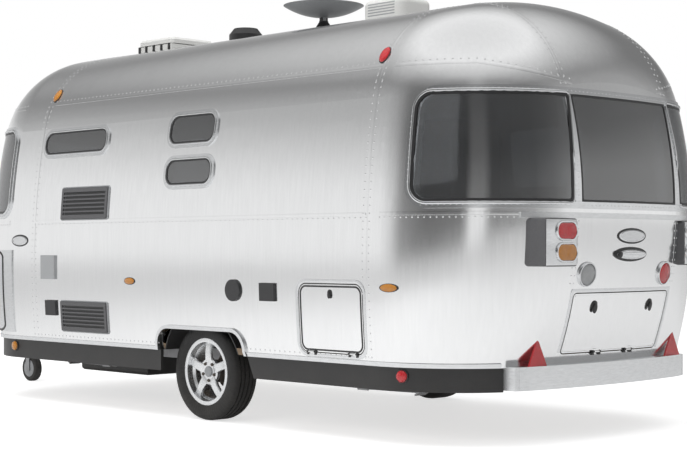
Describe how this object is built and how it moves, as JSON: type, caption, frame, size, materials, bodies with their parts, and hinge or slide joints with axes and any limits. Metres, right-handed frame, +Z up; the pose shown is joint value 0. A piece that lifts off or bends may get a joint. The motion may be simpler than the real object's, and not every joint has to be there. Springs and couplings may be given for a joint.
{
  "type": "travel caravan",
  "caption": "Single-axle riveted travel caravan with wrap-round end windows, opening doors and lockers, tow coupling, jockey wheel and corner steadies.",
  "frame": {"origin": "on the ground under the middle of the whole length and width, standing on both tyres and the jockey wheel", "axes": "+X forwards to the tow coupling, +Y to the left side, +Z up"},
  "size_m": [6.4547, 2.474, 2.735],
  "materials": {
    "skin": "bright rolled sheet",
    "bright_trim": "polished",
    "tinted_glass": "dark tint",
    "black_plastic": "satin",
    "white_plastic": "gloss",
    "vent_plastic": "satin",
    "hatch_plastic": "satin",
    "floor_board": "sealed",
    "galvanised": "galvanised",
    "drum_iron": "bare",
    "alloy": "silver lacquer",
    "tyre": "rubber",
    "grey_paint": "powder coat",
    "red_lens": "clear red",
    "amber_lens": "clear amber",
    "clear_lens": "clear",
    "upholstery": "woven",
    "furniture_wood": "veneer"
  },
  "bodies": {
    "caravan_body": {"amber_lamps": "amber_lens", "axle_beam": "galvanised", "bright_mouldings": "bright_trim", "chassis_frame": "galvanised", "clear_lamp": "clear_lens", "coupling_head": "galvanised", "dish_foot": "black_plastic", "floor_pan": "floor_board", "front_bed": "upholstery", "front_lower_shell": "skin", "front_upper_shell": "skin", "hinge_pins": "black_plastic", "kitchen_units": "furniture_wood", "lamp_housings": "vent_plastic", "rear_bumper": "bright_trim", "rear_lounge": "upholstery", "rear_lower_shell": "skin", "rear_upper_shell": "skin", "red_lamps": "red_lens", "roof_cowl": "black_plastic", "roof_shell": "skin", "roof_unit": "white_plastic", "rooflight_frame": "white_plastic", "side_hatches": "hatch_plastic", "side_vents": "vent_plastic", "side_wall_left": "skin", "side_wall_right": "skin", "skirts": "black_plastic", "stone_guards": "bright_trim", "underslung_box": "black_plastic", "wardrobes": "furniture_wood", "wheel_boxes": "black_plastic", "window_frames": "bright_trim", "window_panes": "tinted_glass"},
    "wheel_left": {"tyre_left": "tyre", "rim_left": "alloy", "brake_drum_left": "drum_iron"},
    "wheel_right": {"tyre_right": "tyre", "rim_right": "alloy", "brake_drum_right": "drum_iron"},
    "entrance_door": {"entrance_door": "skin", "entrance_door_pane": "tinted_glass"},
    "service_door": {"service_door": "skin"},
    "rear_locker_door": {"rear_locker_door": "skin"},
    "front_locker_door": {"front_locker_door": "skin"},
    "rooflight_lid": {"rooflight_lid": "white_plastic"},
    "dish_turntable": {"dish_turntable": "black_plastic"},
    "satellite_dish": {"satellite_dish": "grey_paint"},
    "jockey_stem": {"jockey_stem": "galvanised"},
    "jockey_fork": {"jockey_fork": "galvanised"},
    "jockey_wheel": {"jockey_wheel": "tyre"},
    "steady_rear_left": {"steady_rear_left": "galvanised"},
    "steady_rear_right": {"steady_rear_right": "galvanised"},
    "steady_front_left": {"steady_front_left": "galvanised"},
    "steady_front_right": {"steady_front_right": "galvanised"}
  },
  "joints": [
    {"name": "wheel_left_spin", "type": "hinge", "parent": "caravan_body", "child": "wheel_left", "pos_m": [-0.7685, 1.0225, 0.305], "axis": [0, 1, 0], "continuous": true},
    {"name": "wheel_right_spin", "type": "hinge", "parent": "caravan_body", "child": "wheel_right", "pos_m": [-0.7685, -1.0225, 0.305], "axis": [0, 1, 0], "continuous": true},
    {"name": "entrance_door_hinge", "type": "hinge", "parent": "caravan_body", "child": "entrance_door", "pos_m": [0.3515, -1.234, 1], "axis": [0, 0, 1], "range_deg": [0, 110]},
    {"name": "service_door_hinge", "type": "hinge", "parent": "caravan_body", "child": "service_door", "pos_m": [-2.0115, 1.19815, 0.487], "axis": [-1, 0, 0], "range_deg": [0, 90]},
    {"name": "rear_locker_hinge", "type": "hinge", "parent": "caravan_body", "child": "rear_locker_door", "pos_m": [-3.0713, 0, 0.497], "axis": [0, -1, 0], "range_deg": [0, 80]},
    {"name": "front_locker_hinge", "type": "hinge", "parent": "caravan_body", "child": "front_locker_door", "pos_m": [2.10353, 0, 0.9], "axis": [0, -1, 0], "range_deg": [0, 80]},
    {"name": "rooflight_hinge", "type": "hinge", "parent": "caravan_body", "child": "rooflight_lid", "pos_m": [0.9405, 0.165, 2.574], "axis": [0, 1, 0], "range_deg": [0, 60]},
    {"name": "dish_swivel", "type": "hinge", "parent": "caravan_body", "child": "dish_turntable", "pos_m": [-0.6785, 0, 2.62], "axis": [0, 0, 1], "range_deg": [-170, 170]},
    {"name": "dish_tilt", "type": "hinge", "parent": "dish_turntable", "child": "satellite_dish", "pos_m": [-0.6785, 0, 2.642], "axis": [0, 1, 0], "range_deg": [0, 20]},
    {"name": "jockey_lift", "type": "slide", "parent": "caravan_body", "child": "jockey_stem", "axis": [0, 0, 1], "range_m": [0, 0.065]},
    {"name": "jockey_swivel", "type": "hinge", "parent": "jockey_stem", "child": "jockey_fork", "pos_m": [2.5615, 0.252, 0.222], "axis": [0, 0, 1], "continuous": true},
    {"name": "jockey_wheel_spin", "type": "hinge", "parent": "jockey_fork", "child": "jockey_wheel", "pos_m": [2.5165, 0.252, 0.105], "axis": [0, 1, 0], "continuous": true},
    {"name": "steady_rear_left_hinge", "type": "hinge", "parent": "caravan_body", "child": "steady_rear_left", "pos_m": [-1.8485, 0.76, 0.262], "axis": [0, -1, 0], "range_deg": [0, 31]},
    {"name": "steady_rear_right_hinge", "type": "hinge", "parent": "caravan_body", "child": "steady_rear_right", "pos_m": [-1.8485, -0.76, 0.262], "axis": [0, -1, 0], "range_deg": [0, 31]},
    {"name": "steady_front_left_hinge", "type": "hinge", "parent": "caravan_body", "child": "steady_front_left", "pos_m": [0.7315, 0.76, 0.262], "axis": [0, 1, 0], "range_deg": [0, 31]},
    {"name": "steady_front_right_hinge", "type": "hinge", "parent": "caravan_body", "child": "steady_front_right", "pos_m": [0.7315, -0.76, 0.262], "axis": [0, 1, 0], "range_deg": [0, 31]}
  ]
}
